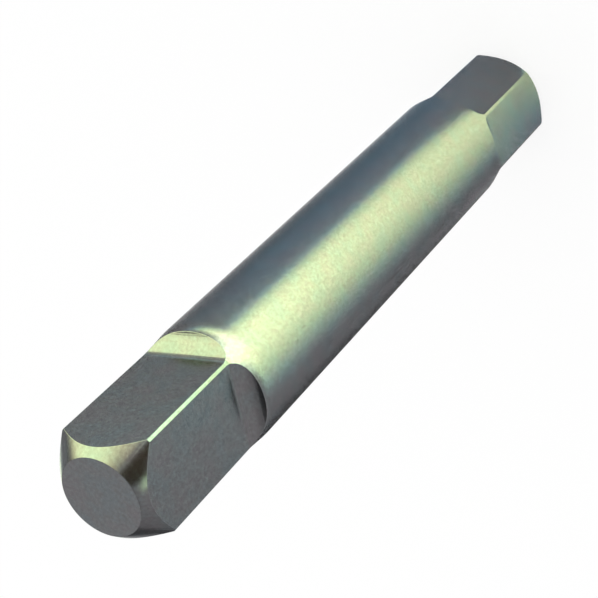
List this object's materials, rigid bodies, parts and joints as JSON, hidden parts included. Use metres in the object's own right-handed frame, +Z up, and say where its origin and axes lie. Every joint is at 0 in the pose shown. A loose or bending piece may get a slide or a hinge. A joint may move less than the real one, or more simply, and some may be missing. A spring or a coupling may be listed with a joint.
{
  "type": "square drive bit",
  "caption": "Plated steel drive bit with a male square at its working end, a plain round shank and a male hexagon for a bit holder.",
  "frame": {"origin": "on the surface that the bit stands on, at its axis", "axes": "+Z up the axis towards the square end, -Y towards one corner of the hexagon"},
  "size_m": [0.0114, 0.0114, 0.075],
  "materials": {
    "plated_steel": "satin zinc plating with a pale yellow-green sheen"
  },
  "bodies": {
    "root": {"drive_bit": "plated_steel"}
  },
  "joints": []
}
